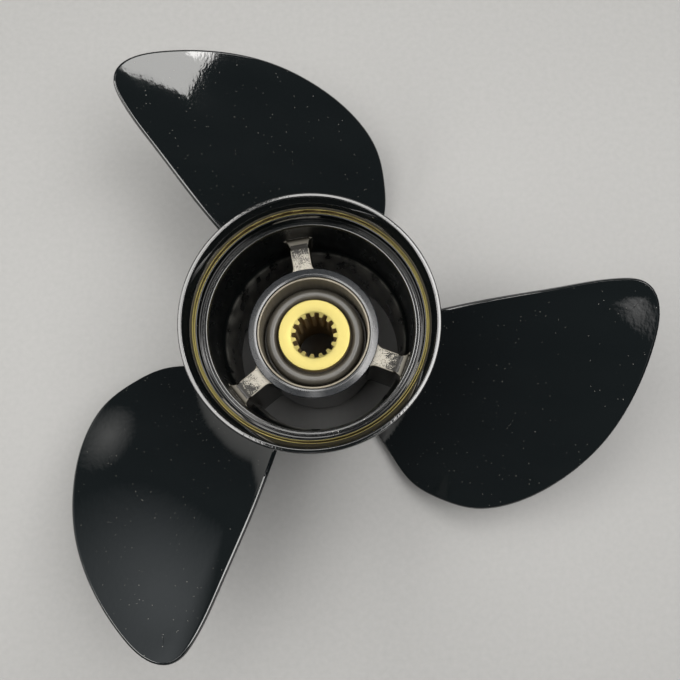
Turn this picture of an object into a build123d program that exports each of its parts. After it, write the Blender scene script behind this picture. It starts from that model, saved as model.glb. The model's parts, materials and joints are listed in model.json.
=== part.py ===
from build123d import *
from math import atan2, cos, degrees, hypot, pi, radians, sin, sqrt
import os

# Boat propeller, right-hand, three blades, exhaust through the hub.
# Millimetres. +Z is the shaft axis and points aft; z = 0 is the hub's front end, on the axis.

# Driving dimensions
DIAMETER = 393.7  # 15-1/2 in over the blade tips
PITCH = 482.6  # 19 in of advance in one turn
BLADE_COUNT = 3
BLADE_ANGLES = [90 + n * 360 / BLADE_COUNT for n in range(BLADE_COUNT)]  # each blade's reference line
RIB_ANGLES = [angle + 10 for angle in BLADE_ANGLES]

HUB_LENGTH = 152.4
BARREL_RADIUS = 60.3  # 4-3/4 in gearcase
FLARE_START_Z = 115.0  # the diffuser ring turns outwards from here
FLARE_RADIUS = 74.0
MOUTH_RADIUS = 62.0
RECESS_RADIUS = 56.0  # front recess that goes over the gearcase's collar
RECESS_DEPTH = 12.0
FRONT_BORE_RADIUS = 53.0
AFT_BORE_RADIUS = 56.4
BORE_SHOULDER_Z = 79.0  # where the two bores meet

HUB_FRONT_Z = 14.0  # front end of the inner hub
HUB_AFT_Z = 110.0
HUB_RADIUS = 37.4
HUB_BORE_RADIUS = 32.3

SLEEVE_RADIUS = 32.25  # 0.05 mm clear of the bore, so the bush can slip round
SLEEVE_WALL = 1.15
SLEEVE_FRONT_Z = 18.0
SLEEVE_AFT_Z = 109.0

BRASS_RADIUS = 21.0
BRASS_FRONT_Z = 16.0
BRASS_AFT_Z = 99.6
SPLINE_TEETH = 15
SPLINE_MINOR_RADIUS = 11.1
SPLINE_MAJOR_RADIUS = 13.2
SPLINE_FRONT_Z = 62.0
RELIEF_RADIUS = 13.5  # plain bore ahead of the spline
SPLINE_MOUTH_RADIUS = 14.1  # the teeth's aft ends are chamfered from here
SPLINE_MOUTH_DEPTH = 1.3

RIB_WIDTH = 11.0
RIB_FRONT_Z = 16.0
RIB_AFT_Z = 106.0
RIB_FILLET = 4.5  # where a rib meets the hub and the barrel
RIB_EDGE_RADIUS = 1.0

# Blade: the pressure face is a true helical surface, raked aft a little more towards the tip.
TIP_RADIUS = DIAMETER / 2
ADVANCE = PITCH / (2 * pi)  # millimetres along the axis for each radian
FACE_HEIGHT = 46.8  # height of the pressure face on the 5 degree line at RAKE_RADIUS
FACE_ANGLE = 5.0
RAKE_RADIUS = 69.75
RAKE = 0.15
RAKE_CURVE = 0.05 / RAKE_RADIUS
ROOT_THICKNESS = 11.0
TIP_THICKNESS = 3.4
LEADING_THICKNESS = 1.8
TRAILING_THICKNESS = 3.4

# The blade's outline seen along the axis: radius, and angle from the blade's reference line.
LEADING_EDGE = [
    (54, -24.3),
    (85, -25.2),
    (107, -24.7),
    (126, -20.7),
    (143, -15.9),
    (158, -8.6),
    (171, 0.4),
    (181.5, 9.3),
    (190.5, 20.3),
    (195.3, 28),
]
TIP = (TIP_RADIUS, 33.8)
TRAILING_EDGE = [(194, 36.9), (189, 38.6), (178, 39.9), (146, 40.9), (105, 42.1), (54, 43)]


# The blade is lofted through upright slices across this line, which runs up its middle.
SLICE_ANGLE = 8.0
SLICES = [38, 56, 75, 95, 116, 138, 160, 180, 200]


def polar(radius, angle):
    """The point at this radius and angle in degrees."""
    return (radius * cos(radians(angle)), radius * sin(radians(angle)))


def face_height(radius, angle):
    """Height of the pressure face, which faces aft."""
    outward = radius - RAKE_RADIUS
    return FACE_HEIGHT + ADVANCE * radians(angle - FACE_ANGLE) + RAKE * outward + RAKE_CURVE * outward**2


def edge_angle(edge, radius):
    """Angle of an outline edge at this radius, by straight lines between its points."""
    points = sorted(edge)
    for (r0, a0), (r1, a1) in zip(points, points[1:]):
        if radius <= r1:
            return a0 + (a1 - a0) * max(0, radius - r0) / (r1 - r0)
    return points[-1][1]


def axial_thickness(radius, angle):
    """Blade thickness measured along the axis: thin at the leading edge, thicker at the trailing edge."""
    start = edge_angle(LEADING_EDGE, radius)
    stop = edge_angle(TRAILING_EDGE, radius)
    along = min(1, max(0, (angle - start) / (stop - start)))
    span = min(1, max(0, (radius - BARREL_RADIUS) / (TIP_RADIUS - BARREL_RADIUS)))
    crown = ROOT_THICKNESS + (TIP_THICKNESS - ROOT_THICKNESS) * span**0.8
    edge = LEADING_THICKNESS + (TRAILING_THICKNESS - LEADING_THICKNESS) * along
    normal = edge + max(0, crown - edge) * sin(pi * along) ** 1.5
    return normal * sqrt(1 + (ADVANCE / radius) ** 2)


def face_section(x):
    """One upright slice of the blade, across its reference line at distance x, wider than its outline."""
    low = -x * 0.72 - 4
    high = x * 0.8 + 16
    stations = [low + (high - low) * i / 14 for i in range(15)]
    polars = [(y, hypot(x, y), degrees(atan2(y, x)) + SLICE_ANGLE) for y in stations]
    face = [(y, face_height(r, a)) for y, r, a in polars]
    back = [(y, face_height(r, a) - axial_thickness(r, a)) for y, r, a in polars]
    return face, back


os.makedirs("parts", exist_ok=True)


# Barrel: the outer exhaust tube, flaring into the diffuser ring at the aft end
with BuildPart() as barrel:
    with BuildSketch(Plane.XZ):
        with BuildLine():
            foot = Polyline((RECESS_RADIUS, RECESS_DEPTH), (RECESS_RADIUS, 0), (BARREL_RADIUS - 1.5, 0))
            round_foot = JernArc(foot @ 1, (1, 0), 1.5, 90)
            side = Line(round_foot @ 1, (BARREL_RADIUS, FLARE_START_Z))
            flare = JernArc(side @ 1, side % 1, FLARE_RADIUS, -28)
            ledge = Polyline((58.5, 131.4), (57.6, 131.1), (56.9, 130.8), (AFT_BORE_RADIUS + 0.1, 130))
            mouth = JernArc(ledge @ 0, (sin(radians(12)), cos(radians(12))), MOUTH_RADIUS, -19)
            ThreePointArc(flare @ 1, (67.5, HUB_LENGTH), mouth @ 1)
            Polyline(
                ledge @ 1,
                (AFT_BORE_RADIUS - 0.5, BORE_SHOULDER_Z + 3),
                (FRONT_BORE_RADIUS + 0.6, BORE_SHOULDER_Z - 2),
                (FRONT_BORE_RADIUS, RECESS_DEPTH),
                foot @ 0,
            )
        make_face()
    revolve(axis=Axis.Z)
barrel.part.label = "barrel"


# Inner hub: the tube that the bush is pressed into, with a bevelled aft ring
with BuildPart() as inner_hub:
    with BuildSketch(Plane.XZ):
        with BuildLine():
            Polyline(
                (HUB_BORE_RADIUS, HUB_FRONT_Z),
                (HUB_RADIUS, HUB_FRONT_Z),
                (HUB_RADIUS, HUB_AFT_Z - 1.6),
                (HUB_RADIUS - 0.5, HUB_AFT_Z - 1.0),
                (HUB_BORE_RADIUS + 1.5, HUB_AFT_Z),
                (HUB_BORE_RADIUS + 0.5, HUB_AFT_Z - 0.3),
                (HUB_BORE_RADIUS, HUB_AFT_Z - 1.8),
                close=True,
            )
        make_face()
    revolve(axis=Axis.Z)
inner_hub.part.label = "inner_hub"


# Ribs: struts from the inner hub to the barrel, filleted into both, with a soft aft edge
rib_start = HUB_RADIUS + 2.9
rib_stop = AFT_BORE_RADIUS - 5.1
with BuildPart() as rib:
    with BuildSketch(Plane.XY.offset(RIB_FRONT_Z)):
        with BuildLine():
            side = Line((rib_start, RIB_WIDTH / 2), (rib_stop, RIB_WIDTH / 2))
            into_hub = JernArc(side @ 0, (-1, 0), RIB_FILLET, -75)
            into_barrel = JernArc(side @ 1, (1, 0), RIB_FILLET, 95)
            Line(into_hub @ 1, (HUB_RADIUS - 2, 0))
            Line(into_barrel @ 1, (BARREL_RADIUS, 0))
            mirror(about=Plane.XZ)
        make_face()
    extrude(amount=RIB_AFT_Z + 6 - RIB_FRONT_Z)
    with BuildSketch(Plane.XZ):
        with BuildLine():
            top = Line((HUB_RADIUS - 3, RIB_AFT_Z), (rib_stop, RIB_AFT_Z))
            rise = JernArc(top @ 1, (1, 0), 4.6, 80)
            Polyline(
                rise @ 1,
                (BARREL_RADIUS + 1, RIB_AFT_Z + 6),
                (BARREL_RADIUS + 1, RIB_FRONT_Z),
                (HUB_RADIUS - 3, RIB_FRONT_Z),
                top @ 0,
            )
        make_face()
    extrude(amount=20, both=True, mode=Mode.INTERSECT)
    aft_edges = rib.edges().filter_by(
        lambda edge: edge.center().Z > RIB_AFT_Z - 1
        and abs(edge.center().Y) > 5
        and HUB_RADIUS - 1 < edge.center().X < AFT_BORE_RADIUS
    )
    fillet(aft_edges, RIB_EDGE_RADIUS)
    with Locations((0, 0, HUB_FRONT_Z)):
        Cylinder(
            HUB_RADIUS,
            HUB_LENGTH,
            align=(Align.CENTER, Align.CENTER, Align.MIN),
            mode=Mode.SUBTRACT,
        )
    add(barrel.part, mode=Mode.SUBTRACT)


# Blade: upright slices lofted outwards, cut to the outline and to the barrel
with BuildSketch() as blade_outline:
    with BuildLine():
        leading = Spline(*[polar(r, a) for r, a in LEADING_EDGE + [TIP]])
        trailing = Spline(*[polar(r, a) for r, a in [TIP] + TRAILING_EDGE])
        Line(trailing @ 1, leading @ 0)
    make_face()

with BuildPart() as blade:
    for x in SLICES:
        out = polar(x, SLICE_ANGLE)
        across = polar(1, SLICE_ANGLE + 90)
        with BuildSketch(Plane(origin=(*out, 0), x_dir=(*across, 0), z_dir=(*polar(1, SLICE_ANGLE), 0))):
            face_line, back_line = face_section(x)
            with BuildLine():
                face = Spline(*face_line)
                back = Spline(*back_line)
                Line(face @ 0, back @ 0)
                Line(face @ 1, back @ 1)
            make_face()
    loft()
    extrude(blade_outline.sketch, amount=HUB_LENGTH, mode=Mode.INTERSECT)
    Cylinder(
        BARREL_RADIUS,
        HUB_LENGTH,
        align=(Align.CENTER, Align.CENTER, Align.MIN),
        mode=Mode.SUBTRACT,
    )


# Bush: outer sleeve, rubber cushion and brass splined sleeve
sleeve_inside = SLEEVE_RADIUS - SLEEVE_WALL
with BuildPart() as bush_sleeve:
    with BuildSketch(Plane.XY.offset(SLEEVE_FRONT_Z)):
        Circle(SLEEVE_RADIUS)
        Circle(sleeve_inside, mode=Mode.SUBTRACT)
    extrude(amount=SLEEVE_AFT_Z - SLEEVE_FRONT_Z)
    fillet(bush_sleeve.faces().sort_by(Axis.Z)[-1].edges(), 0.4)
bush_sleeve.part.label = "bush_sleeve"

with BuildPart() as rubber_cushion:
    with BuildSketch(Plane.XZ):
        with BuildLine():
            base = Polyline(
                (BRASS_RADIUS, 90.5),
                (BRASS_RADIUS, 24),
                (sleeve_inside, 24),
                (sleeve_inside, 84),
            )
            trench = JernArc(base @ 1, (0, -1), 1.2, -160)
            bead = ThreePointArc((28.3, 92.6), (25.4, 95.6), (22.4, 92.6))
            Line(trench @ 1, bead @ 0)
            Line(bead @ 1, base @ 0)
        make_face()
    revolve(axis=Axis.Z)
rubber_cushion.part.label = "rubber_cushion"

with BuildSketch() as tooth:
    with BuildLine():
        Polyline(
            (SPLINE_MINOR_RADIUS, -0.85),
            (SPLINE_MINOR_RADIUS, 0.85),
            (RELIEF_RADIUS - 0.1, 1.7),
            (RELIEF_RADIUS - 0.1, -1.7),
            close=True,
        )
    make_face()
    fillet(tooth.vertices().group_by(Axis.X)[0], 0.35)

with BuildPart() as splined_sleeve:
    with BuildSketch(Plane.XY.offset(BRASS_FRONT_Z)):
        Circle(BRASS_RADIUS)
        Circle(RELIEF_RADIUS, mode=Mode.SUBTRACT)
    extrude(amount=BRASS_AFT_Z - BRASS_FRONT_Z)
    with BuildSketch(Plane.XY.offset(SPLINE_FRONT_Z)):
        Circle(RELIEF_RADIUS)
        Circle(SPLINE_MAJOR_RADIUS, mode=Mode.SUBTRACT)
        with PolarLocations(0, SPLINE_TEETH):
            add(tooth.sketch)
    extrude(amount=BRASS_AFT_Z - SPLINE_FRONT_Z)
    with Locations((0, 0, BRASS_AFT_Z)):
        Cone(
            SPLINE_MINOR_RADIUS,
            SPLINE_MOUTH_RADIUS,
            SPLINE_MOUTH_DEPTH,
            align=(Align.CENTER, Align.CENTER, Align.MAX),
            mode=Mode.SUBTRACT,
        )
    rims = splined_sleeve.edges().filter_by(lambda edge: edge.length > 2 * pi * BRASS_RADIUS - 1)
    chamfer(rims, 0.4)
splined_sleeve.part.label = "splined_sleeve"


for piece in (barrel, inner_hub, bush_sleeve, rubber_cushion, splined_sleeve):
    export_step(piece.part, f"parts/{piece.part.label}.step")

for number, angle in enumerate(RIB_ANGLES, 1):
    with BuildPart() as turned_rib:
        add(rib.part.rotate(Axis.Z, angle))
    turned_rib.part.label = f"rib_{number}"
    export_step(turned_rib.part, f"parts/rib_{number}.step")

for number, angle in enumerate(BLADE_ANGLES, 1):
    with BuildPart() as turned_blade:
        add(blade.part.rotate(Axis.Z, angle))
    turned_blade.part.label = f"blade_{number}"
    export_step(turned_blade.part, f"parts/blade_{number}.step")
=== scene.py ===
import json
from math import cos, pi, radians, sin

import bpy
import numpy as np
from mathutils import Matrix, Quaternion, Vector

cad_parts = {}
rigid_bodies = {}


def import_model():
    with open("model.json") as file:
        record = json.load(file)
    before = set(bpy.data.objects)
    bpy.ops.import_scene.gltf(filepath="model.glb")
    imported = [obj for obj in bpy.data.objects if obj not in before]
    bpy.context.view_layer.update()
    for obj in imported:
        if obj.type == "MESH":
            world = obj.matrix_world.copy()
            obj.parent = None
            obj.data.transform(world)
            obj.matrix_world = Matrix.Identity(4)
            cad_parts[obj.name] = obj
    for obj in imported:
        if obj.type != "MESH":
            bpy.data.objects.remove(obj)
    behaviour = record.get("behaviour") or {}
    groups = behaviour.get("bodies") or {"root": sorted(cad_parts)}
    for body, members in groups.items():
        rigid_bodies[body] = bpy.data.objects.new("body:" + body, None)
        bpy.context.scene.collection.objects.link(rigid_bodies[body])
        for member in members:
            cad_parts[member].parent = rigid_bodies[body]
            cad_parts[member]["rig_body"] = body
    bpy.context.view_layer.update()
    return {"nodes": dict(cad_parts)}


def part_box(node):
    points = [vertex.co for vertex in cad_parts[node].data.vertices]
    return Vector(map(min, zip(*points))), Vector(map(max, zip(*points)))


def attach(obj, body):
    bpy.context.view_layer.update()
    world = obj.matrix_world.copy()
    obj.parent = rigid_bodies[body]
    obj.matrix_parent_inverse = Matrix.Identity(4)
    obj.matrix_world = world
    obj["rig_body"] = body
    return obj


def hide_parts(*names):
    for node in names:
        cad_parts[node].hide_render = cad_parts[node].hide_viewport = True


# Boat propeller. The frame is in metres with +Z aft along the shaft axis.
# Lengths below are in millimetres, except those of the floor, the lights and the camera.
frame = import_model()
MM = 0.001

# Heights and radii that the CAD nodes give
RIM_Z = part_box("barrel")[1].z / MM
HUB_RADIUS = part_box("inner_hub")[1].x / MM
HUB_FRONT_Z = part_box("inner_hub")[0].z / MM
HUB_AFT_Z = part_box("inner_hub")[1].z / MM
SLEEVE_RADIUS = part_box("bush_sleeve")[1].x / MM
SLEEVE_FRONT_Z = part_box("bush_sleeve")[0].z / MM
SLEEVE_AFT_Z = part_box("bush_sleeve")[1].z / MM
RUBBER_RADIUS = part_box("rubber_cushion")[1].x / MM
RUBBER_FRONT_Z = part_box("rubber_cushion")[0].z / MM
RUBBER_AFT_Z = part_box("rubber_cushion")[1].z / MM
BRASS_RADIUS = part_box("splined_sleeve")[1].x / MM
BRASS_FRONT_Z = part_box("splined_sleeve")[0].z / MM
BRASS_AFT_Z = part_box("splined_sleeve")[1].z / MM

BARREL_RADIUS = 60.3
AFT_BORE_RADIUS = 56.4
FRONT_BORE_RADIUS = 53.0
BORE_SHOULDER_Z = 79.0  # where the two bores meet
RECESS_RADIUS = 56.0
RECESS_DEPTH = 12.0
LEDGE_RADIUS = 59.2  # outside of the stepped ledge between the flare and the bore
LEDGE_Z = 131.0
GROOVE_Z = 82.8  # bottom of the rubber's outer groove
HUB_BORE_RADIUS = 32.3
TIP_RADIUS = 196.85
ROUND_STEPS = 192  # divisions of a turned surface round the axis
BLADE_ANGLES = (90, 210, 330)


# ---- Mesh helpers


def unit(rows):
    """Each row scaled to length 1."""
    return rows / np.linalg.norm(rows, axis=-1, keepdims=True)


def add_piece(name, points, faces, material, node, normals=None):
    """A smooth mesh from points in millimetres, which stands for a CAD node and rides on its body."""
    mesh = bpy.data.meshes.new(name)
    mesh.from_pydata((np.asarray(points) * MM).tolist(), [], faces)
    mesh.materials.append(material)
    mesh.shade_smooth()
    if normals is not None:
        mesh.normals_split_custom_set_from_vertices(np.asarray(normals).tolist())
    piece = bpy.data.objects.new(name, mesh)
    bpy.context.scene.collection.objects.link(piece)
    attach(piece, frame["nodes"][node]["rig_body"])
    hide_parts(node)
    return piece


def rounded(corners):
    """Points and outward normals of a closed profile, given as (radius, height, corner radius, steps)."""
    points, normals = [], []
    for i, (r, z, corner_radius, steps) in enumerate(corners):
        corner = np.array((r, z))
        before = np.array(corners[i - 1][:2]) - corner
        after = np.array(corners[(i + 1) % len(corners)][:2]) - corner
        room = 0.499 * min(np.linalg.norm(before), np.linalg.norm(after))
        before, after = unit(before), unit(after)
        half = np.arccos(np.clip(before @ after, -1, 1)) / 2
        back = min(corner_radius / np.tan(half), room)
        centre = corner + unit(before + after) * back / np.cos(half)
        convex = -np.sign(before[0] * after[1] - before[1] * after[0])
        for share in np.linspace(0, 1, steps + 1):
            spoke = corner + (before * (1 - share) + after * share) * back - centre
            points.append(centre + unit(spoke) * back * np.tan(half))
            normals.append(unit(spoke) * convex)
    return np.array(points), np.array(normals)


def turned(name, corners, material, node):
    """A surface turned about the shaft axis from a profile that runs anticlockwise in (radius, height)."""
    profile, outward = rounded(corners)
    angles = np.linspace(0, 2 * pi, ROUND_STEPS, endpoint=False)
    spin = np.stack((np.cos(angles), np.sin(angles)), axis=1)

    def swept(rows):
        across = spin[:, None, :] * rows[None, :, :1]
        along = np.broadcast_to(rows[None, :, 1:], (ROUND_STEPS, len(rows), 1))
        return np.concatenate((across, along), axis=2).reshape(-1, 3)

    faces = loop_faces(ROUND_STEPS, len(profile), closed=True)
    add_piece(name, swept(profile), faces, material, node, swept(outward))


def loop_faces(loops, count, closed):
    """Quads between neighbouring loops of count points, and from the last loop to the first if closed."""
    faces = []
    for row in range(loops if closed else loops - 1):
        here, there = row * count, (row + 1) % loops * count
        for i in range(count):
            j = (i + 1) % count
            faces.append((here + i, there + i, there + j, here + j))
    return faces


def smooth_curve(knots, at, stations):
    """Natural cubic spline through knots, one row for each value in at, evaluated at the stations."""
    knots, at, stations = np.array(knots, float), np.array(at, float), np.array(stations, float)
    gaps = np.diff(at)
    system = np.eye(len(at))
    pull = np.zeros(knots.shape)
    for i in range(1, len(at) - 1):
        system[i, i - 1 : i + 2] = gaps[i - 1], 2 * (gaps[i - 1] + gaps[i]), gaps[i]
        pull[i] = 6 * ((knots[i + 1] - knots[i]) / gaps[i] - (knots[i] - knots[i - 1]) / gaps[i - 1])
    bend = np.linalg.solve(system, pull)
    i = np.clip(np.searchsorted(at, stations) - 1, 0, len(gaps) - 1)
    gap = gaps[i][:, None]
    a = (at[i + 1] - stations)[:, None] / gap
    b = 1 - a
    return a * knots[i] + b * knots[i + 1] + ((a**3 - a) * bend[i] + (b**3 - b) * bend[i + 1]) * gap**2 / 6


# ---- Turned pieces: profiles of (radius, height, corner radius, steps)


def make_barrel(material):
    """Exhaust tube with its flared ring, the stepped ledge inside it, the two bores and the front recess."""
    profile = [
        (BARREL_RADIUS, 0, 1.5, 5),
        (BARREL_RADIUS, 133.5, 74, 16),
        (69.3, 150.4, 1.5, 5),
        (68.8, RIM_Z - 0.13, 0.8, 6),
        (66.8, RIM_Z, 0.9, 6),
        (63.0, 146.55, 27, 10),
        (61.05, 141.6, 27, 10),
        (LEDGE_RADIUS, LEDGE_Z, 0.1, 3),
        (LEDGE_RADIUS - 0.2, LEDGE_Z + 0.5, 0.1, 4),
        (LEDGE_RADIUS - 0.6, LEDGE_Z + 0.52, 0.1, 4),
        (LEDGE_RADIUS - 0.75, LEDGE_Z + 0.3, 0.1, 3),
        (AFT_BORE_RADIUS + 1.2, LEDGE_Z + 0.2, 0.1, 3),
        (AFT_BORE_RADIUS + 1.0, LEDGE_Z + 0.4, 0.1, 4),
        (AFT_BORE_RADIUS + 0.6, LEDGE_Z + 0.42, 0.1, 4),
        (AFT_BORE_RADIUS, LEDGE_Z - 1.2, 0.5, 4),
        (AFT_BORE_RADIUS - 0.4, BORE_SHOULDER_Z + 3, 2, 5),
        (FRONT_BORE_RADIUS + 0.6, BORE_SHOULDER_Z - 2, 2, 5),
        (FRONT_BORE_RADIUS, RECESS_DEPTH, 0.5, 4),
        (RECESS_RADIUS, RECESS_DEPTH, 0.5, 4),
        (RECESS_RADIUS, 0, 0.5, 4),
    ]
    turned("painted_barrel", profile, material, "barrel")


def make_inner_hub(material):
    """Tube round the bush, with a bevelled aft ring."""
    profile = [
        (HUB_BORE_RADIUS, HUB_FRONT_Z, 0.5, 4),
        (HUB_RADIUS, HUB_FRONT_Z, 0.8, 4),
        (HUB_RADIUS, HUB_AFT_Z - 1.15, 0.6, 5),
        (HUB_BORE_RADIUS + 1.5, HUB_AFT_Z, 0.8, 4),
        (HUB_BORE_RADIUS + 0.4, HUB_AFT_Z - 0.3, 0.15, 4),
        (HUB_BORE_RADIUS, HUB_AFT_Z - 1.9, 0.4, 4),
    ]
    turned("painted_inner_hub", profile, material, "inner_hub")


def make_bush_sleeve(material):
    """Thin tube round the rubber, with rounded ends."""
    profile = [
        (RUBBER_RADIUS, SLEEVE_FRONT_Z, 0.4, 4),
        (SLEEVE_RADIUS, SLEEVE_FRONT_Z, 0.4, 4),
        (SLEEVE_RADIUS, SLEEVE_AFT_Z, 0.5, 5),
        (RUBBER_RADIUS, SLEEVE_AFT_Z, 0.5, 5),
    ]
    turned("plated_sleeve", profile, material, "bush_sleeve")


def make_cushion(material):
    """Rubber between the sleeves, with a rounded bead that stands up aft between two grooves."""
    profile = [
        (BRASS_RADIUS, RUBBER_FRONT_Z, 0.5, 4),
        (RUBBER_RADIUS, RUBBER_FRONT_Z, 0.5, 4),
        (RUBBER_RADIUS, GROOVE_Z, 1.15, 6),
        (28.7, GROOVE_Z, 1.1, 6),
        (28.4, RUBBER_AFT_Z, 3.0, 10),
        (22.4, RUBBER_AFT_Z, 3.0, 10),
        (22.1, 90.8, 0.5, 4),
        (BRASS_RADIUS, 90.3, 0.3, 4),
    ]
    turned("moulded_cushion", profile, material, "rubber_cushion")


# ---- Blades: a helical pressure face, a thickness under it, rounded edges and a root fillet

ADVANCE = 482.6 / (2 * pi)  # 19 in pitch, as millimetres along the axis for each radian
FACE_HEIGHT = 46.8  # height of the face on the 5 degree line at RAKE_RADIUS
FACE_ANGLE = 5.0
RAKE_RADIUS = 69.75
RAKE = 0.15
RAKE_CURVE = 0.05 / RAKE_RADIUS
ROOT_THICKNESS = 11.0
TIP_THICKNESS = 3.4
LEADING_THICKNESS = 1.9
TRAILING_THICKNESS = 3.2
CUP = 0.9  # how far the trailing edge curls aft
CUP_WIDTH = 11.0
EDGE_BEVEL = 1.75  # power that flattens an edge's rounding towards a bevel; 1 is a quarter circle
LEADING_ROUNDING = 0.92
TRAILING_ROUNDING = 0.7
ROOT_FILLET = 7.0
THIN_FILLET = 0.3  # share of the fillet that is left near the barrel's front end
THIN_FILLET_Z = 5.0
FULL_FILLET_Z = 23.0
ROOT_HOLD = 25.0  # above the fillet, how soon a section may leave its own radius
BURIED_RADIUS = 58.6  # the blade's root is closed inside the barrel's wall
SPAN_TAPER = 0.8  # power by which the middle thins from root to tip
SECTION_FULLNESS = 1.5  # power by which a section thickens from its edge to its spine
TIP_BLEND = 60.0  # length round the tip over which the leading edge becomes the trailing edge
LEADING_EDGE = [
    (54, -24.3),
    (85, -25.2),
    (107, -24.7),
    (126, -20.7),
    (143, -15.9),
    (158, -8.6),
    (171, 0.4),
    (181.5, 9.3),
    (190.5, 20.3),
    (195.3, 28),
    (TIP_RADIUS, 33.8),
]
TRAILING_EDGE = [(194, 36.9), (189, 38.6), (178, 39.9), (146, 40.9), (105, 42.1), (54, 43)]
CORNER_RADIUS = 194  # where the leading edge's curve turns into the trailing edge
SPINE = [(BARREL_RADIUS + ROOT_FILLET, 9.1), (90, 9.8), (117, 13.5), (150, 23), (185, 35)]
FILLET_ROWS = 9
ROWS = 72  # from the top of the root fillet to the tip
COLUMNS = 30  # from an edge to the spine
COLUMN_CROWDING = 1.35  # power that draws the columns towards the edges
EDGE_STEPS = 5
OUTLINE_SAMPLES = 4000


def face_points(plan):
    """Points and normals of the pressure face at these (radius, angle in degrees, aft lift)."""
    radius, angle, lift = plan[..., 0], np.radians(plan[..., 1]), plan[..., 2]
    outward = radius - RAKE_RADIUS
    height = FACE_HEIGHT + ADVANCE * (angle - radians(FACE_ANGLE)) + RAKE * outward + RAKE_CURVE * outward**2
    points = np.stack((radius * np.cos(angle), radius * np.sin(angle), height + lift), axis=-1)
    rise_out = RAKE + 2 * RAKE_CURVE * outward
    rise_round = ADVANCE / radius
    normals = np.stack(
        (
            rise_round * np.sin(angle) - rise_out * np.cos(angle),
            -rise_round * np.cos(angle) - rise_out * np.sin(angle),
            np.ones_like(angle),
        ),
        axis=-1,
    )
    return points, unit(normals)


def arc_lengths(points):
    """Distance along a polyline at each of its points."""
    steps = np.linalg.norm(np.diff(points, axis=0), axis=1)
    return np.concatenate(([0], np.cumsum(steps)))


def smooth_step(values):
    """0 to 1 with a soft start and stop."""
    share = np.clip(values, 0, 1)
    return share * share * (3 - 2 * share)


def blade_rows():
    """Leading edge, spine and trailing edge as (radius, angle), one row for each section, root to tip."""
    flat = flat_place(np.array(LEADING_EDGE + TRAILING_EDGE, float))
    at = arc_lengths(flat)
    line = smooth_curve(flat, at, np.linspace(0, at[-1], OUTLINE_SAMPLES))
    along = arc_lengths(line)
    radius = np.hypot(line[:, 0], line[:, 1])
    angle = np.degrees(np.arctan2(line[:, 1], line[:, 0]))
    top = int(np.argmax(radius))

    root_turn = np.linspace(pi / 2, 0, FILLET_ROWS)
    root = np.concatenate(([BURIED_RADIUS], BARREL_RADIUS + ROOT_FILLET * (1 - np.sin(root_turn))))
    lead_root = np.interp(root, radius[:top], angle[:top])
    trail_root = np.interp(-root, -radius[top:], angle[top:])

    share = np.linspace(0, 1, ROWS + 1)[1:]
    corner = np.interp(-CORNER_RADIUS, -radius[top:], along[top:])
    lead_at = np.interp(root[-1], radius[:top], along[:top]) * (1 - share) + corner * share
    trail_at = np.interp(-root[-1], -radius[top:], along[top:]) * (1 - share) + corner * share
    lead_outer = np.stack((np.interp(lead_at, along, radius), np.interp(lead_at, along, angle)), axis=1)
    trail_outer = np.stack((np.interp(trail_at, along, radius), np.interp(trail_at, along, angle)), axis=1)

    lead = np.concatenate((np.stack((root, lead_root), axis=1), lead_outer))
    trail = np.concatenate((np.stack((root, trail_root), axis=1), trail_outer))
    spine_root = np.stack((root, np.full(len(root), SPINE[0][1])), axis=1)
    spine = np.concatenate((spine_root, smooth_curve(SPINE, np.linspace(0, 1, len(SPINE)), share)))
    return lead, spine, trail


def flat_place(polar_rows):
    """Plan positions of (radius, angle) rows."""
    angle = np.radians(polar_rows[..., 1])
    return np.stack((np.cos(angle), np.sin(angle)), axis=-1) * polar_rows[..., :1]


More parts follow.
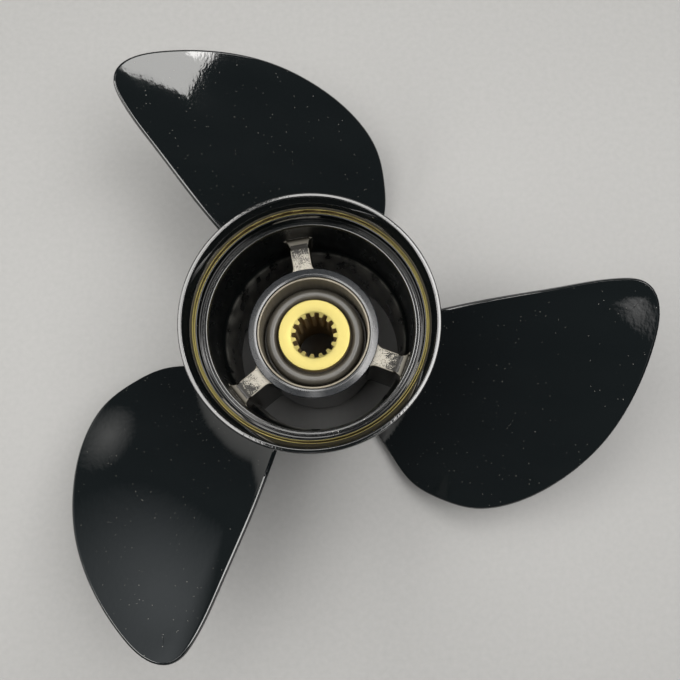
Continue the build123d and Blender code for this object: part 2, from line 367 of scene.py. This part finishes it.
def blade_loops():
    """Closed section loops of a blade whose reference line is +X, from the barrel's wall to the tip."""
    lead, spine, trail = blade_rows()
    rows = len(lead)
    edge = np.concatenate((lead, trail[-2::-1]))
    middle = np.concatenate((spine, spine[-2::-1]))
    travel = arc_lengths(flat_place(edge))
    aft = smooth_step((travel - travel[rows - 1]) / TIP_BLEND + 0.5)[:, None]  # 0 leading, 1 trailing
    thickness = LEADING_THICKNESS + (TRAILING_THICKNESS - LEADING_THICKNESS) * aft
    rounding = LEADING_ROUNDING + (TRAILING_ROUNDING - LEADING_ROUNDING) * aft

    # The back of the trailing edge stands out past its face, so the face's edge is set in by that much.
    slope = ADVANCE / edge[:, 0]
    inset = aft[:, 0] * thickness[:, 0] * slope / np.sqrt(1 + slope**2)
    edge[:, 1] -= np.degrees(inset / edge[:, 0])

    # Face and back, column by column from the edge to the spine
    span = np.linalg.norm(flat_place(edge) - flat_place(middle), axis=1)[:, None]
    share = (np.arange(1, COLUMNS + 1) / COLUMNS)[None, :] ** COLUMN_CROWDING
    inward = rounding + (span - rounding) * share
    mix = (inward / span)[..., None]
    plan = edge[:, None, :] * (1 - mix) + middle[:, None, :] * mix
    lift = CUP * aft * np.clip(1 - inward / CUP_WIDTH, 0, 1) ** 2
    face, normal = face_points(np.concatenate((plan, lift[..., None]), axis=-1))
    out = np.clip((plan[..., 0] - BARREL_RADIUS) / (TIP_RADIUS - BARREL_RADIUS), 0, 1)
    crown = ROOT_THICKNESS + (TIP_THICKNESS - ROOT_THICKNESS) * out**SPAN_TAPER
    deep = thickness + (crown - thickness) * np.sin(pi / 2 * mix[..., 0]) ** SECTION_FULLNESS
    back = face - normal * deep[..., None]

    # Rounded edge, from the face to the back
    rim, rim_normal = face_points(np.concatenate((edge, CUP * aft), axis=1))
    ahead = unit(np.gradient(rim, axis=0))
    outward = unit(np.cross(ahead, rim_normal))
    turn = np.linspace(0, pi / 2, EDGE_STEPS)
    rise, run = np.cos(turn) ** EDGE_BEVEL, np.sin(turn) ** EDGE_BEVEL
    sides = np.concatenate((run, rise))[None, :] * rounding - rounding
    upper = (rise - 1)[None, :] * rounding
    lower = rounding - thickness - run[None, :] * rounding
    drops = np.concatenate((upper, lower), axis=1)
    rim_loop = rim[:, None] + outward[:, None] * sides[..., None] + rim_normal[:, None] * drops[..., None]

    # Near the root every section stays at its own radius, so that it meets the barrel squarely.
    def held(points, radii):
        now = np.hypot(points[..., 0], points[..., 1])
        pull = 1 - smooth_step((radii - BARREL_RADIUS - ROOT_FILLET) / ROOT_HOLD)
        scale = 1 + (radii / now - 1) * pull
        return points * np.stack((scale, scale, np.ones_like(scale)), axis=-1)

    back = held(back, plan[..., 0])
    rim_loop = held(rim_loop, np.broadcast_to(edge[:, :1], rim_loop.shape[:2]))

    # One closed loop for each row: face to the leading edge, back to the trailing edge, face to the spine
    loops = []
    for row in range(rows):
        far = 2 * rows - 2 - row
        loops.append(
            np.concatenate(
                (
                    face[row, ::-1],
                    rim_loop[row],
                    back[row],
                    back[far, -2::-1],
                    rim_loop[far, ::-1],
                    face[far, :-1],
                )
            )
        )
    return flare_root(np.array(loops), lead[:, 0])


def flare_root(loops, radii):
    """Widens the lowest loops into a fillet that runs out on the barrel, and that is thin near its front."""
    for row in range(FILLET_ROWS + 1):
        above = max(0, radii[row] - BARREL_RADIUS)
        widening = ROOT_FILLET - np.sqrt(ROOT_FILLET**2 - (ROOT_FILLET - above) ** 2)
        loop = loops[row]
        forward = np.roll(loop, -1, axis=0) - np.roll(loop, 1, axis=0)
        radial = loop * (1, 1, 0)
        away = unit(np.cross(forward, radial))
        away *= np.sign(np.sum(away * (loop - loop.mean(axis=0))))
        full = smooth_step((loop[:, 2:] - THIN_FILLET_Z) / (FULL_FILLET_Z - THIN_FILLET_Z))
        wide = loop + away * widening * (THIN_FILLET + (1 - THIN_FILLET) * full)
        wide[:, :2] *= (radii[row] / np.hypot(wide[:, 0], wide[:, 1]))[:, None]
        loops[row] = wide
    return loops


def blade_faces(rows, count):
    """Quads over the loops, folded together at the tip and capped inside the barrel's wall."""
    half = count // 2
    last = (rows - 1) * count
    faces = []
    for quad in loop_faces(rows, count, closed=False):
        faces.append(tuple(last + count - v + last if v > last + half else v for v in quad[::-1]))
    for i in range(half // 2):
        faces.append((half - i, half - i - 1, i + 1, i))
        faces.append((-i % count, count - i - 1, half + i + 1, half + i))
    return faces


def make_blade(number, angle, material):
    """One blade, turned to its place round the hub."""
    loops = blade_loops()
    rows, count = loops.shape[:2]
    turn = radians(angle)
    spin = np.array(((cos(turn), sin(turn), 0), (-sin(turn), cos(turn), 0), (0, 0, 1)))
    points = loops.reshape(-1, 3) @ spin
    faces = blade_faces(rows, count)
    used = sorted({v for face in faces for v in face})
    place = {v: i for i, v in enumerate(used)}
    faces = [tuple(place[v] for v in face) for face in faces]
    blade = add_piece(f"painted_blade_{number}", points[used], faces, material, f"blade_{number}")
    even = blade.modifiers.new("even_shading", "WEIGHTED_NORMAL")
    even.weight = 60


# ---- Splined sleeve: a turned outside with teeth inside

SPLINE_TEETH = 15
SPLINE_MINOR_RADIUS = 11.1
SPLINE_MAJOR_RADIUS = 13.2
SPLINE_FRONT_Z = 62.0
RELIEF_RADIUS = 13.5
MOUTH_RADIUS = 14.1  # the teeth are chamfered from here, down to the depth below
MOUTH_DEPTH = 1.3
TOOTH_TIP_HALF = 4.1  # degrees from a tooth's middle to the edge of its tip
TOOTH_ROOT_HALF = 7.2
TOOTH_STEPS = 30
MOUTH_STEPS = 12
TEETH_LEVELS = 8
SHARP_ANGLE = 38  # degrees; a tooth's flanks and the sleeve's ends shade as separate faces


def tooth_radius(angles):
    """Inside radius of the spline at these angles in degrees."""
    pitch = 360 / SPLINE_TEETH
    offset = np.abs((angles + pitch / 2) % pitch - pitch / 2)
    rise = smooth_step((offset - TOOTH_TIP_HALF) / (TOOTH_ROOT_HALF - TOOTH_TIP_HALF))
    return SPLINE_MINOR_RADIUS + (SPLINE_MAJOR_RADIUS - SPLINE_MINOR_RADIUS) * rise


def make_splined_sleeve(material):
    """Brass sleeve with a chamfered, splined bore and a plain relief bore ahead of it."""
    angles = np.linspace(0, 360, SPLINE_TEETH * TOOTH_STEPS, endpoint=False)
    teeth = tooth_radius(angles)
    around = flat_place(np.stack((np.ones_like(angles), angles), axis=1))
    levels = []

    def level(radius, z):
        flat = around * np.reshape(radius, (-1, 1))
        levels.append(np.column_stack((flat, np.full(len(angles), z))))

    corners = [
        (RELIEF_RADIUS, BRASS_FRONT_Z, 0.4, 3),
        (BRASS_RADIUS, BRASS_FRONT_Z, 0.6, 4),
        (BRASS_RADIUS, BRASS_AFT_Z, 0.6, 4),
        (MOUTH_RADIUS, BRASS_AFT_Z, 0.3, 3),
    ]
    mouth_points = corners[-1][3] + 1  # left out: the chamfer below takes this corner's place
    for radius, z in rounded(corners)[0][:-mouth_points]:
        level(radius, z)
    for share in np.linspace(0, 1, MOUTH_STEPS):
        radius = MOUTH_RADIUS + (SPLINE_MINOR_RADIUS - MOUTH_RADIUS) * share
        level(np.maximum(teeth, radius), BRASS_AFT_Z - MOUTH_DEPTH * share)
    for z in np.linspace(BRASS_AFT_Z - MOUTH_DEPTH - 0.5, SPLINE_FRONT_Z, TEETH_LEVELS):
        level(teeth, z)
    level(RELIEF_RADIUS, SPLINE_FRONT_Z)
    points = np.concatenate(levels)
    faces = [quad[::-1] for quad in loop_faces(len(levels), len(angles), closed=True)]
    sleeve = add_piece("broached_sleeve", points, faces, material, "splined_sleeve")
    sleeve.data.set_sharp_from_angle(angle=radians(SHARP_ANGLE))


# ---- Ribs


def paint_rib(name, material):
    """A rib keeps its CAD mesh and takes this material."""
    rib = frame["nodes"][name]
    rib.data.materials.clear()
    rib.data.materials.append(material)


# ---- Materials

MIRROR_FRONT_Z = 138.5  # between these two heights the flare is a clear mirror
MIRROR_AFT_Z = 151.0
MIRROR_FADE = 1.5
SHEEN_GAP_RADIUS = 50.0  # where the painted sheen on a rib's aft face ends in a dark gap


def start_material(name, **sockets):
    """A new material with these values set on its shader: (material, node tree, shader)."""
    material = bpy.data.materials.new(name)
    material.use_nodes = True
    shader = material.node_tree.nodes["Principled BSDF"]
    for socket, value in sockets.items():
        shader.inputs[socket.replace("_", " ")].default_value = value
    return material, material.node_tree, shader


def put(tree, kind, sockets, output=0, **settings):
    """Adds a node, fills its sockets with values or links, and returns one of its outputs."""
    made = tree.nodes.new("ShaderNode" + kind)
    for key, value in settings.items():
        setattr(made, key, value)
    for key, value in sockets.items():
        if isinstance(value, bpy.types.NodeSocket):
            tree.links.new(value, made.inputs[key])
        else:
            made.inputs[key].default_value = value
    return made.outputs[output]


def object_place(tree):
    """The surface point in metres."""
    return put(tree, "TexCoord", {}, output="Object")


def axis_height(tree, place):
    """The part along the shaft axis, which for a place is its height in metres."""
    split = tree.nodes.new("ShaderNodeSeparateXYZ")
    tree.links.new(place, split.inputs[0])
    return split.outputs[2]


def facing_aft(tree):
    """How far the surface faces aft: 1 straight aft, 0 sideways."""
    return axis_height(tree, put(tree, "TexCoord", {}, output="Normal"))


def axis_radius(tree, place):
    """Distance from the shaft axis in metres."""
    flat = put(tree, "VectorMath", {0: place, 1: (1, 1, 0)}, operation="MULTIPLY")
    return put(tree, "VectorMath", {0: flat}, output="Value", operation="LENGTH")


def grain(tree, place, scale, detail=2.0, stretch=(1, 1, 1)):
    """Noise from 0 to 1 with this many cells to the metre."""
    vector = put(tree, "Mapping", {"Vector": place, "Scale": stretch})
    return put(tree, "TexNoise", {"Vector": vector, "Scale": scale, "Detail": detail})


def spread(tree, value, low, high, to_low=0.0, to_high=1.0):
    """Maps low..high to to_low..to_high, clamped."""
    sockets = {"Value": value, "From Min": low, "From Max": high, "To Min": to_low, "To Max": to_high}
    return put(tree, "MapRange", sockets)


def mixed(tree, factor, first, second):
    """A colour between two colours, each given as a value or a link."""
    mix = tree.nodes.new("ShaderNodeMix")
    mix.data_type = "RGBA"
    tree.links.new(factor, mix.inputs[0])
    for socket, colour in ((mix.inputs[6], first), (mix.inputs[7], second)):
        if isinstance(colour, bpy.types.NodeSocket):
            tree.links.new(colour, socket)
        else:
            socket.default_value = (*colour, 1)
    return mix.outputs[2]


def specks(tree, place, scale, size, share):
    """Round spots, one to some of the cells: 1 on a spot."""
    cells = tree.nodes.new("ShaderNodeTexVoronoi")
    cells.inputs["Scale"].default_value = scale
    tree.links.new(place, cells.inputs["Vector"])
    near = spread(tree, cells.outputs["Distance"], size, size * 0.6)
    chosen = put(tree, "Math", {0: cells.outputs["Color"], 1: 1 - share}, operation="GREATER_THAN")
    return put(tree, "Math", {0: near, 1: chosen}, operation="MULTIPLY")


def bumped(tree, *layers):
    """A normal from (height, how deep in millimetres) layers, each on the one before."""
    normal = None
    for height, deep in layers:
        sockets = {"Height": height, "Strength": 1.0, "Distance": deep * MM}
        if normal is not None:
            sockets["Normal"] = normal
        normal = put(tree, "Bump", sockets)
    return normal


def gloss_black():
    """Black enamel on cast aluminium: orange peel, slow waves in the casting, faint wipe marks, dust."""
    material, tree, shader = start_material("gloss_black_paint", IOR=1.8)
    place = object_place(tree)
    peel = grain(tree, place, 420, 2.0, (1, 0.6, 1))
    waves = grain(tree, place, 32, 2.0)
    wiped = grain(tree, place, 14, 5.0, (1, 2.4, 1))
    dust = specks(tree, place, 420, 0.085, 0.4)
    enamel = mixed(tree, wiped, (0.0040, 0.0058, 0.0064), (0.0075, 0.0098, 0.0104))
    tree.links.new(mixed(tree, dust, enamel, (0.34, 0.33, 0.29)), shader.inputs["Base Color"])
    smooth = spread(tree, wiped, 0.45, 0.75, 0.03, 0.09)
    rough = put(tree, "Math", {0: smooth, 1: dust}, operation="ADD", use_clamp=True)
    tree.links.new(rough, shader.inputs["Roughness"])
    tree.links.new(bumped(tree, (waves, 0.07), (peel, 0.020), (dust, 0.02)), shader.inputs["Normal"])
    return material


def bore_black():
    """The barrel's enamel: smooth on the flare, knocked about on its lip, dull in the bore, and pale ahead
    of the shoulder with dust and a painted glow.
    """
    material, tree, shader = start_material("bore_black_paint", IOR=2.0)
    place = object_place(tree)
    radius, height = axis_radius(tree, place), axis_height(tree, place)
    inside = spread(tree, radius, (AFT_BORE_RADIUS + 0.7) * MM, (AFT_BORE_RADIUS + 0.3) * MM)
    far_down = spread(tree, height, (BORE_SHOULDER_Z + 0.5) * MM, (BORE_SHOULDER_Z - 3) * MM)
    lip = spread(tree, height, (RIM_Z - 1.2) * MM, (RIM_Z - 0.7) * MM)
    peel = grain(tree, place, 900, 2.0, (1, 0.7, 0.4))
    waves = grain(tree, place, 32, 2.0)
    cloud = grain(tree, place, 120, 5.0, (1, 1, 0.35))
    dust = specks(tree, place, 300, 0.10, 0.30)
    low_bore = put(tree, "Math", {0: inside, 1: far_down}, operation="MULTIPLY")
    # Ahead of the shoulder the bore's wall is painted pale in clouds: partly dust, partly a painted glow of
    # the light that reaches down the bore.
    dust_and_painted_glow = put(tree, "Math", {0: low_bore, 1: spread(tree, cloud, 0.35, 0.65)}, operation="MULTIPLY")
    enamel = mixed(tree, dust_and_painted_glow, (0.0045, 0.0055, 0.0055), (0.26, 0.254, 0.23))
    tree.links.new(mixed(tree, dust, enamel, (0.30, 0.29, 0.26)), shader.inputs["Base Color"])
    dull = spread(tree, cloud, 0.3, 0.7, 0.22, 0.42)
    ledge = spread(tree, radius, (LEDGE_RADIUS + 0.1) * MM, (LEDGE_RADIUS - 0.1) * MM)
    smooth = spread(tree, ledge, 0, 1, 0.015, 0.10)
    tree.links.new(put(tree, "Mix", {0: inside, 2: smooth, 3: dull}), shader.inputs["Roughness"])

    # The flare's inside is the clearest mirror of all, and shows the brass sleeve as a gold line.
    above_ledge = spread(tree, height, MIRROR_FRONT_Z * MM, (MIRROR_FRONT_Z + MIRROR_FADE) * MM)
    below_lip = spread(tree, height, MIRROR_AFT_Z * MM, (MIRROR_AFT_Z - MIRROR_FADE) * MM)
    faces_aft = spread(tree, facing_aft(tree), 0.0, 0.1)
    band = put(tree, "Math", {0: above_ledge, 1: below_lip}, operation="MULTIPLY")
    flare = put(tree, "Math", {0: band, 1: faces_aft}, operation="MULTIPLY")
    index = put(tree, "Mix", {0: inside, 2: spread(tree, flare, 0, 1, 2.0, 5.5), 3: 1.4})
    tree.links.new(index, shader.inputs["IOR"])
    knocks = put(tree, "Math", {0: peel, 1: lip}, operation="MULTIPLY")
    tree.links.new(bumped(tree, (waves, 0.01), (knocks, 0.05), (dust, 0.03)), shader.inputs["Normal"])
    return material


def worn_black():
    """The same enamel on the inner hub, rubbed to a satin on its turned aft ring."""
    material, tree, shader = start_material("worn_black_paint", IOR=1.8)
    place = object_place(tree)
    ring = spread(tree, axis_height(tree, place), (HUB_AFT_Z - 1.6) * MM, (HUB_AFT_Z - 1.2) * MM)
    sockets = {"W": axis_radius(tree, place), "Scale": 2600.0, "Detail": 3.0}
    lines = put(tree, "TexNoise", sockets, noise_dimensions="1D")
    scuffs = grain(tree, place, 420, 4.0)
    rubbed = mixed(tree, scuffs, (0.016, 0.018, 0.020), (0.045, 0.048, 0.052))
    tree.links.new(mixed(tree, ring, (0.006, 0.008, 0.009), rubbed), shader.inputs["Base Color"])
    satin = spread(tree, lines, 0.35, 0.65, 0.12, 0.22)
    tree.links.new(put(tree, "Mix", {0: ring, 2: 0.16, 3: satin}), shader.inputs["Roughness"])
    cut = put(tree, "Math", {0: lines, 1: ring}, operation="MULTIPLY")
    tree.links.new(bumped(tree, (cut, 0.008), (scuffs, 0.008)), shader.inputs["Normal"])
    return material


def rib_black_painted_sheen():
    """Black enamel on the ribs with a painted sheen: pale and pitted facing aft, as a painted reflection of
    the light above, black down the sides and in a gap near the barrel, and half pale again beyond the gap."""
    material, tree, shader = start_material("rib_black_paint_painted_sheen", IOR=1.45)
    place = object_place(tree)
    radius = axis_radius(tree, place)
    facing = facing_aft(tree)
    # Painted highlight: surfaces that face aft are painted pale, standing in for the light above reflected
    # in the ribs.
    aft = spread(tree, facing, 0.15, 0.75)
    flat = spread(tree, facing, 0.90, 0.96)
    grit = grain(tree, place, 1500, 3.0)
    cloud = grain(tree, place, 300, 3.0)
    skin = put(tree, "Math", {0: cloud, 1: 0.6, 2: grit}, operation="MULTIPLY_ADD")
    # The painted sheen is broken by more pits towards the barrel.
    more_pits_outward = spread(tree, radius, (HUB_RADIUS + 1.6) * MM, SHEEN_GAP_RADIUS * MM, 0.13, -0.10)
    pitted = spread(tree, put(tree, "Math", {0: skin, 1: more_pits_outward}, operation="ADD"), 0.84, 0.76)
    pits = put(tree, "Math", {0: flat, 1: pitted}, operation="MULTIPLY")
    sheen_unpitted = put(tree, "Math", {0: aft, 1: pits}, operation="SUBTRACT", use_clamp=True)
    # Near the barrel the painted sheen stops in a black gap and comes back at half strength beyond it.
    past_start = spread(tree, radius, (SHEEN_GAP_RADIUS + 0.2) * MM, (SHEEN_GAP_RADIUS + 0.6) * MM)
    past_stop = spread(tree, radius, (SHEEN_GAP_RADIUS + 2.4) * MM, (SHEEN_GAP_RADIUS + 2.9) * MM, 0.0, 0.45)
    gap = put(tree, "Math", {0: past_start, 1: past_stop}, operation="SUBTRACT", use_clamp=True)
    pale = put(tree, "Math", {0: sheen_unpitted, 1: gap}, operation="SUBTRACT", use_clamp=True)
    tree.links.new(mixed(tree, pale, (0.016, 0.014, 0.010), (0.47, 0.44, 0.37)), shader.inputs["Base Color"])
    tree.links.new(spread(tree, pale, 0, 1, 0.26, 0.36), shader.inputs["Roughness"])
    tree.links.new(bumped(tree, (cloud, 0.06), (grit, 0.03)), shader.inputs["Normal"])
    return material


def zinc_steel():
    """Drawn steel tube, yellow zinc plated."""
    material, tree, shader = start_material("yellow_zinc_steel", Metallic=0.1)
    place = object_place(tree)
    drawn = grain(tree, place, 500, 3.0, (1, 1, 0.04))
    cloud = grain(tree, place, 90, 4.0)
    tree.links.new(mixed(tree, cloud, (0.19, 0.17, 0.13), (0.34, 0.305, 0.235)), shader.inputs["Base Color"])
    tree.links.new(spread(tree, drawn, 0.3, 0.7, 0.28, 0.45), shader.inputs["Roughness"])
    tree.links.new(bumped(tree, (drawn, 0.01)), shader.inputs["Normal"])
    return material


def moulded_rubber():
    """Grey-black rubber with a fine matt skin and a bloom of dust."""
    material, tree, shader = start_material("moulded_rubber", IOR=1.7)
    place = object_place(tree)
    skin = grain(tree, place, 1400, 2.0)
    bloom = grain(tree, place, 120, 5.0)
    dusty = mixed(tree, bloom, (0.042, 0.039, 0.033), (0.100, 0.093, 0.077))
    tree.links.new(dusty, shader.inputs["Base Color"])
    tree.links.new(spread(tree, bloom, 0.3, 0.7, 0.30, 0.42), shader.inputs["Roughness"])
    tree.links.new(bumped(tree, (skin, 0.012), (bloom, 0.03)), shader.inputs["Normal"])
    return material


def machined_brass():
    """Brass with a fine, satin grain on its turned aft end and darker, broached teeth."""
    material, tree, shader = start_material("machined_brass", Metallic=1.0)
    place = object_place(tree)
    cloud = grain(tree, place, 160, 4.0)
    fine = grain(tree, place, 1500, 2.0)
    outside = spread(tree, axis_height(tree, place), (BRASS_AFT_Z - 2.5) * MM, (BRASS_AFT_Z - 0.9) * MM)
    turned_face = mixed(tree, cloud, (0.39, 0.325, 0.100), (0.48, 0.415, 0.150))
    broached = mixed(tree, fine, (0.22, 0.15, 0.07), (0.55, 0.42, 0.22))
    tree.links.new(mixed(tree, outside, broached, turned_face), shader.inputs["Base Color"])
    tree.links.new(spread(tree, outside, 0, 1, 0.35, 0.9), shader.inputs["Metallic"])
    tree.links.new(spread(tree, cloud, 0.3, 0.7, 0.44, 0.52), shader.inputs["Roughness"])
    tree.links.new(bumped(tree, (fine, 0.010)), shader.inputs["Normal"])
    return material


def pale_floor():
    """Plain pale satin table top."""
    material, tree, shader = start_material("pale_floor", Specular_IOR_Level=0.3)
    place = object_place(tree)
    speckle = grain(tree, place, 260, 3.0)
    top = mixed(tree, speckle, (0.36, 0.36, 0.355), (0.42, 0.42, 0.413))
    tree.links.new(top, shader.inputs["Base Color"])
    tree.links.new(spread(tree, speckle, 0.3, 0.7, 0.42, 0.5), shader.inputs["Roughness"])
    return material


# ---- The propeller

paint = gloss_black()
bore_paint = bore_black()
worn_paint = worn_black()
rib_paint_painted_sheen = rib_black_painted_sheen()
zinc = zinc_steel()
rubber = moulded_rubber()
brass = machined_brass()

make_barrel(bore_paint)
make_inner_hub(worn_paint)
make_bush_sleeve(zinc)
make_cushion(rubber)
make_splined_sleeve(brass)
for number, angle in enumerate(BLADE_ANGLES, 1):
    make_blade(number, angle, paint)
for name in ("rib_1", "rib_2", "rib_3"):
    paint_rib(name, rib_paint_painted_sheen)


# ---- Floor, lights and camera

PANEL_HEIGHT = 1.3
NEUTRAL = (1.0, 0.98, 0.96)
WARM = (1.0, 0.98, 0.95)
COOL = (0.93, 0.97, 1.0)

bpy.ops.mesh.primitive_plane_add(size=6)
floor = bpy.context.object
floor.name = "floor"
floor.data.materials.append(pale_floor())


def soft_light(name, place, target, size, radiance, colour, roll=0, faded=False):
    """A rectangular light that looks this bright, rolled about its own axis. Faded, it dims to its edge."""
    light = bpy.data.lights.new(name, "AREA")
    light.shape = "RECTANGLE"
    light.size, light.size_y = size
    light.energy = radiance * pi * size[0] * size[1]
    light.color = colour
    lamp = bpy.data.objects.new(name, light)
    lamp.location = place
    aim = (Vector(target) - Vector(place)).to_track_quat("-Z", "Y")
    lamp.rotation_euler = (aim @ Quaternion((0, 0, 1), radians(roll))).to_euler()
    bpy.context.scene.collection.objects.link(lamp)
    if faded:
        light.use_nodes = True
        tree = light.node_tree
        across = put(tree, "NewGeometry", {}, output="Parametric")
        middle = put(tree, "VectorMath", {0: across, 1: (0.5, 0.5, 0)}, output="Value", operation="DISTANCE")
        tree.links.new(spread(tree, middle, 0.5, 0.05), tree.nodes["Emission"].inputs["Strength"])


def overhead(name, x, y, size, radiance, colour, faded=False):
    """A soft light that hangs level over this place."""
    soft_light(name, (x, y, PANEL_HEIGHT), (x, y, 0), size, radiance, colour, faded=faded)


overhead("right_panel", 0.59, 0.05, (0.76, 1.0), 6.2, NEUTRAL)
overhead("left_panel", -0.54, 0.05, (0.66, 1.0), 4.6, WARM)
overhead("back_panel", 0.02, 0.6, (0.4, 0.68), 4.5, WARM)
overhead("front_panel", -0.04, -0.72, (0.3, 0.45), 2.4, NEUTRAL, faded=True)
soft_light("left_low", (-1.25, 0.02, 1.0), (0, 0, 0.1), (1.1, 0.5), 5.0, WARM)
soft_light("upper_right", (0.825, 0.596, 1.232), (0, 0, 0.1), (0.25, 0.25), 5.0, (1.0, 0.99, 0.96), roll=45)
soft_light("upper_left", (-1.27, 0.99, 1.2), (-0.1, -0.15, 0.1), (1.4, 1.2), 0.52, COOL, faded=True)
soft_light("far_left", (-0.75, 2.18, 1.2), (-0.1, 0, 0.1), (0.55, 0.6), 0.65, WARM, faded=True)

world = bpy.data.worlds.new("studio")
world.use_nodes = True
world.node_tree.nodes["Background"].inputs["Color"].default_value = (0.03, 0.032, 0.035, 1)
bpy.context.scene.world = world
bpy.context.scene.view_settings.view_transform = "Standard"

camera_data = bpy.data.cameras.new("camera")
camera_data.sensor_width = 36
camera_data.lens = 45
camera_data.shift_x = -0.0288
camera_data.shift_y = -0.0198
camera = bpy.data.objects.new("camera", camera_data)
camera.location = (0.0234, -0.0732, 0.5891)
camera.rotation_euler = (radians(9.07), radians(-0.35), 0)
bpy.context.scene.collection.objects.link(camera)
bpy.context.scene.camera = camera
